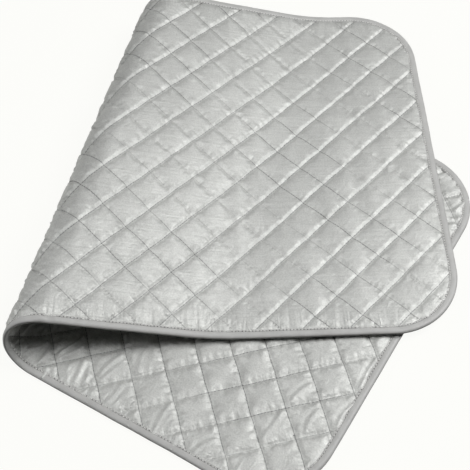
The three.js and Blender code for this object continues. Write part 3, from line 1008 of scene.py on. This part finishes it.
def spine(way):
    """The rectangle that the outline is rounded from, and the way out of it, at ways round the edge."""
    side, end, bend = LENGTH - 2 * CORNER, WIDTH - 2 * CORNER, CORNER * math.pi / 2
    near, far = CORNER - WIDTH / 2, WIDTH / 2 - CORNER
    left, right = CORNER, LENGTH - CORNER
    runs = (
        (side, (left, near), (right, near), -0.5),
        (end, (right, near), (right, far), 0.0),
        (side, (right, far), (left, far), 0.5),
        (end, (left, far), (left, near), 1.0),
    )
    u, v, angle = np.zeros_like(way), np.zeros_like(way), np.zeros_like(way)
    begin = 0.0
    for length, start, stop, facing in runs:
        on = (way >= begin) & (way < begin + length)
        share = (way[on] - begin) / length
        u[on] = start[0] + (stop[0] - start[0]) * share
        v[on] = start[1] + (stop[1] - start[1]) * share
        angle[on] = facing * math.pi
        begin += length
        on = (way >= begin) & (way < begin + bend)
        u[on], v[on] = stop
        angle[on] = facing * math.pi + (way[on] - begin) / CORNER
        begin += bend
    return u, v, np.cos(angle), np.sin(angle)


ROUND = 2 * (LENGTH - 2 * CORNER) + 2 * (WIDTH - 2 * CORNER) + 2 * math.pi * CORNER
RING_STEP = 2.0
TAPE_MIDDLE = 4.6
TAPE_BASE = 1.5

# Half the tape's section, from its rim on the cloth to the middle of the edge: how far inside the outline it
# is, how far over the mat's middle, and how much it puckers there. Its seam pulls a groove into it.
TAPE_HALF = (
    (9.4, 1.50, 0.0),
    (9.5, 1.95, 0.6),
    (9.1, 2.30, 0.8),
    (8.6, 2.30, 0.5),
    (8.2, 1.80, 0.0),
    (7.6, 1.80, 0.0),
    (7.1, 2.35, 0.5),
    (6.2, 2.60, 1.0),
    (4.6, 2.72, 1.0),
    (3.0, 2.66, 0.8),
    (1.7, 2.35, 0.6),
    (0.7, 1.75, 0.4),
    (0.15, 0.95, 0.2),
)
TAPE_EDGE = (0.0, 0.0, 0.0)
TAPE_INSIDE = (1.3, TAPE_BASE - 0.1, 0.0)
TAPE_BACK = [(x, -y, p) for x, y, p in (*reversed(TAPE_HALF), TAPE_INSIDE)]
TAPE_SECTION = np.array([*TAPE_HALF, TAPE_EDGE, *TAPE_BACK, TAPE_INSIDE])
TAPE_GIRTH = np.concatenate([[0], np.cumsum(np.hypot(*np.diff(TAPE_SECTION[:, :2], axis=0).T))])
GROOVE = 4
SEAM_HEIGHT = 2.25

# How the tape strays from its line and puffs up round the edge, as waves with a share and a spacing, and how
# much more it puffs where it is crumpled
TAPE_DRIFT = ((0.45, 70.0), (0.2, 21.0))
TAPE_PUFF = ((0.6, 9.0), (0.4, 4.0))
TAPE_CRUMPLE = 2.0

# How far the tape's section has to go to close, and its rows on the bake's picture: how many, how long at
# least, how far apart, and the room and margin round them
TAPE_CLOSING = 3.0
BAKE_ROWS = 8
BAKE_ROW = 400.0
BAKE_GAP = 4.0
ROWS_ROOM = 1.01
ROWS_MARGIN = 0.003


def uneven(way, waves, seed):
    """A smooth uneven line round the edge, from about -1 to 1, that closes on itself."""
    total = np.zeros_like(way)
    for number, (share, spacing) in enumerate(waves):
        count = int(round(ROUND / spacing))
        values = np.random.default_rng(seed + number).uniform(-1, 1, count + 1)
        values[-1] = values[0]
        place = way / ROUND * count
        index = np.clip(place.astype(int), 0, count - 1)
        part = smooth(place - index)
        total += share * (values[index] * (1 - part) + values[index + 1] * part)
    return total


class PAD_OT_binding(bpy.types.Operator):
    """Folds the tape over the edge all the way round, with the groove of its seam on both sides"""

    bl_idname = "pad.binding"
    bl_label = "Binding tape"

    def execute(self, context):
        pucker = context.scene.pad_binding.pucker / MM
        count = int(round(ROUND / RING_STEP))
        way = np.arange(count) * ROUND / count
        centre_u, centre_v, out_u, out_v = spine(way)
        puff = uneven(way, TAPE_PUFF, SEED + 1)
        # The tape is crumpled most where the mat folds
        puff *= 1 + TAPE_CRUMPLE * within(across_at(centre_u, centre_v), CRUMPLED_SPAN)
        inset, lift, loose = TAPE_SECTION.T
        reach = CORNER - inset + uneven(way, TAPE_DRIFT, SEED + 3)[:, None]
        u = centre_u[:, None] + out_u[:, None] * reach
        v = centre_v[:, None] + out_v[:, None] * reach
        lift = lift + np.sign(lift) * loose * pucker * puff[:, None]
        places = folded(u, v, np.minimum(lift, over_table(across_at(u, v))))
        ring = np.arange(u.size).reshape(u.shape)
        ahead = np.roll(ring, -1, axis=0)
        loops = (ring, np.roll(ring, -1, axis=1), np.roll(ahead, -1, axis=1), ahead)
        quads = np.stack([x.ravel() for x in loops], 1)
        normals = smooth_normals(places.reshape(-1, 3), quads).reshape(places.shape)
        middle = CORNER - TAPE_MIDDLE
        across = across_at(centre_u + out_u * middle, centre_v + out_v * middle)
        bands = np.searchsorted(CUTS, (across + np.roll(across, -1)) / 2)
        material = bias_tape()
        for index in range(len(LENGTHS)):
            self.tape_length(index, places, normals, bands == index, material)
        return {"FINISHED"}

    def tape_length(self, index, places, normals, inside, material):
        """Makes the tape of one length of the mat, from each run of rings that lies on it."""
        count, wide = places.shape[:2]
        girth = [*TAPE_GIRTH, TAPE_GIRTH[-1] + TAPE_CLOSING]
        row_length = max(BAKE_ROW, RING_STEP * inside.sum() / BAKE_ROWS)
        row_height = TAPE_GIRTH[-1] + BAKE_GAP
        points, facing, faces, flats, bakes = [], [], [], [], []
        number = 0
        for start in np.nonzero(inside & ~np.roll(inside, 1))[0]:
            rings = [start]
            while inside[rings[-1] % count]:
                rings.append(rings[-1] + 1)
            offset = len(points) * wide
            points.extend(places[ring % count] for ring in rings)
            facing.extend(normals[ring % count] for ring in rings)
            for step, ring in enumerate(rings[:-1]):
                way = ring % count * RING_STEP
                bake_row, bake_x = divmod(number * RING_STEP, row_length)
                for i in range(wide):
                    a, b = (offset + step * wide + j for j in (i, (i + 1) % wide))
                    faces.append([a, b, b + wide, a + wide])
                    here, there = girth[i], girth[i + 1]
                    corners = ((0.0, here), (0.0, there), (RING_STEP, there), (RING_STEP, here))
                    flats += [(way + x, y) for x, y in corners]
                    bakes += [(bake_x + x, bake_row * row_height + y) for x, y in corners]
                number += 1
            last = offset + (len(rings) - 1) * wide
            for cap in ([offset + i for i in reversed(range(wide))], [last + i for i in range(wide)]):
                faces.append(cap)
                flats += [(0.0, y) for y in TAPE_GIRTH]
                bakes += [(0.0, 0.0)] * wide
        bakes = np.array(bakes)
        piece = place_piece(
            "binding",
            index,
            np.concatenate(points),
            faces,
            np.array(flats) * MM,
            bakes / (bakes.max() * ROWS_ROOM) + ROWS_MARGIN,
            material,
            ("binding", "near_binding", "far_binding"),
        )
        piece.data.normals_split_custom_set_from_vertices(np.concatenate(facing).tolist())


class PAD_OT_binding_seam(bpy.types.Operator):
    """Sews the tape down with a row of stitches in its groove, on the face and on the back"""

    bl_idname = "pad.binding_seam"
    bl_label = "Binding seam"

    def execute(self, context):
        look = context.scene.pad_thread
        count = int(round(ROUND / (look.stitch / MM)))
        way = (np.arange(count) + 0.5) * ROUND / count
        centre_u, centre_v, out_u, out_v = spine(way)
        reach = CORNER - TAPE_SEAM + uneven(way, TAPE_DRIFT, SEED + 3)
        u, v = centre_u + out_u * reach, centre_v + out_v * reach
        words = ("face", "back")
        parts = [f"{place}binding_{word}_seam" for place in ("", "near_", "far_") for word in words]
        twice = [np.tile(x, 2) for x in (u, v, -out_v, out_u)]
        sides = np.repeat([1, -1], count)
        thread = spun_thread("pale_spun_polyester_thread", look.seam_colour)
        height = np.full(2 * count, SEAM_HEIGHT)
        sew("binding_seam", *twice, height, sides, look.seam_radius / MM, thread, parts)
        return {"FINISHED"}


# The camera: round the pad, over it, its roll, the point that it looks at on the table and how far off it is
CAMERA_ROUND = math.radians(29.83)
CAMERA_OVER = math.radians(53.591)
CAMERA_ROLL = math.radians(0.928)
CAMERA_AIM = Vector(np.array([164.889, 8.64, 0.0]) * MM + ORIGIN)
CAMERA_OFF = 1268.499 * MM
RIGHT = Vector((math.cos(CAMERA_ROUND), math.sin(CAMERA_ROUND), 0))
AHEAD = Vector((-math.sin(CAMERA_ROUND), math.cos(CAMERA_ROUND), 0))
UPWARD = Vector((0, 0, 1))

# The floor and the light: in metres, and as a share of white. The floor glows for the camera.
FLOOR_REACH = 6.0
FLOOR_DROP = 0.0005
FLOOR_GLOW = 0.96
SKY_COLOUR = (1.0, 1.0, 0.98, 1.0)
SKY_LIGHT = 0.02

# The lamps: the way to each to the right, ahead and up, how far off it is, its size and its watts
LAMPS = {
    "key": (0.62, 0.18, 0.85, 1.9, 0.9, 30.0),
    "fill": (-0.2, -0.14, 1.0, 2.2, 0.6, 10.0),
    "side": (-0.9, -0.07, 0.42, 1.9, 0.7, 10.0),
}


def floor_paint():
    """Matte floor paint. The camera sees it nearly white, with a part of its shadow kept."""
    look = bpy.context.scene.pad_stage
    material, tree = new_material("painted_studio_floor")
    white = (*look.floor_colour, 1)
    rays = add_node(tree, "ShaderNodeLightPath", output=None).outputs
    either = {0: rays["Is Camera Ray"], 1: rays["Is Glossy Ray"]}
    seen = add_node(tree, "ShaderNodeMath", either, operation="MAXIMUM")
    mixed = {0: seen, 6: (*look.bounce_colour, 1), 7: white}
    painted = add_node(tree, "ShaderNodeMix", mixed, output=2, data_type="RGBA")
    matte = {"Base Color": painted, "Roughness": 0.9, "Specular IOR Level": 0.1}
    paint = add_node(tree, "ShaderNodeBsdfPrincipled", matte)
    glow = add_node(tree, "ShaderNodeEmission", {"Color": white, "Strength": 1.0})
    share = add_node(tree, "ShaderNodeMath", {0: seen, 1: FLOOR_GLOW}, operation="MULTIPLY")
    surface = add_node(tree, "ShaderNodeMixShader", {0: share, 1: paint, 2: glow})
    add_node(tree, "ShaderNodeOutputMaterial", {"Surface": surface}, output=None)
    return material


class PAD_OT_stage(bpy.types.Operator):
    """Sets the pale floor, the soft lamps and the camera"""

    bl_idname = "pad.stage"
    bl_label = "Stage"

    def execute(self, context):
        scene = context.scene
        scene.view_settings.view_transform = "Standard"
        mesh = bpy.data.meshes.new("floor")
        signs = ((-1, -1), (1, -1), (1, 1), (-1, 1))
        mesh.from_pydata([(x * FLOOR_REACH, y * FLOOR_REACH, 0) for x, y in signs], [], [(0, 1, 2, 3)])
        mesh.materials.append(floor_paint())
        floor = bpy.data.objects.new("floor", mesh)
        floor.location.z = -FLOOR_DROP
        scene.collection.objects.link(floor)

        world = bpy.data.worlds.new("pale_studio")
        world.use_nodes = True
        scene.world = world
        tree = world.node_tree
        tree.nodes.clear()
        seen = add_node(tree, "ShaderNodeLightPath", output="Is Camera Ray")
        level = product(tree, ((seen, 0.0, 1.0, SKY_LIGHT, 1.0),))
        sky = add_node(tree, "ShaderNodeBackground", {"Color": SKY_COLOUR, "Strength": level})
        add_node(tree, "ShaderNodeOutputWorld", {"Surface": sky}, output=None)

        for name, (right, ahead, up, off, size, watts) in LAMPS.items():
            light = bpy.data.lights.new(name, "AREA")
            light.size = size
            light.energy = watts
            lamp = bpy.data.objects.new(name, light)
            way = RIGHT * right + AHEAD * ahead + UPWARD * up
            lamp.location = CAMERA_AIM + way.normalized() * off
            lamp.rotation_euler = (-way).to_track_quat("-Z", "Y").to_euler()
            scene.collection.objects.link(lamp)

        forward = AHEAD * math.cos(CAMERA_OVER) - UPWARD * math.sin(CAMERA_OVER)
        roll = Matrix.Rotation(CAMERA_ROLL, 3, -forward)
        axes = (roll @ RIGHT, roll @ RIGHT.cross(forward), -forward, CAMERA_AIM - forward * CAMERA_OFF)
        data = bpy.data.cameras.new("camera")
        data.lens = scene.pad_stage.lens
        data.sensor_width = 36.0
        data.clip_start = 0.02
        data.clip_end = 50.0
        camera = bpy.data.objects.new("camera", data)
        camera.matrix_world = Matrix([[axis[i] for axis in axes] for i in range(3)] + [(0, 0, 0, 1)])
        scene.collection.objects.link(camera)
        scene.camera = camera
        return {"FINISHED"}


class PAD_PT_panel(bpy.types.Panel):
    """Lists the pad's sizes, colours and pieces"""

    bl_idname = "PAD_PT_panel"
    bl_label = "Ironing pad"
    bl_space_type = "VIEW_3D"
    bl_region_type = "UI"
    bl_category = "Ironing pad"

    def draw(self, context):
        for group, operators in PANEL:
            column = self.layout.column(align=True)
            settings = getattr(context.scene, group)
            for name in settings.__annotations__:
                column.prop(settings, name)
            for operator in operators:
                column.operator(operator.bl_idname)


PANEL = (
    ("pad_cloth", (PAD_OT_quilt,)),
    ("pad_thread", (PAD_OT_quilting, PAD_OT_binding_seam)),
    ("pad_binding", (PAD_OT_binding,)),
    ("pad_stage", (PAD_OT_stage,)),
)
GROUPS = {"pad_cloth": PadCloth, "pad_thread": PadThread, "pad_binding": PadBinding, "pad_stage": PadStage}
OPERATORS = (PAD_OT_quilt, PAD_OT_binding, PAD_OT_quilting, PAD_OT_binding_seam, PAD_OT_stage)


def register():
    for cls in (*GROUPS.values(), *OPERATORS, PAD_PT_panel):
        bpy.utils.register_class(cls)
    for name, group in GROUPS.items():
        setattr(bpy.types.Scene, name, bpy.props.PointerProperty(type=group))


def unregister():
    for name in GROUPS:
        delattr(bpy.types.Scene, name)
    for cls in reversed((*GROUPS.values(), *OPERATORS, PAD_PT_panel)):
        bpy.utils.unregister_class(cls)


def main():
    register()
    bpy.ops.pad.quilt()
    bpy.ops.pad.binding()
    bpy.ops.pad.quilting()
    bpy.ops.pad.binding_seam()
    bpy.ops.pad.stage()


if __name__ == "__main__":
    main()
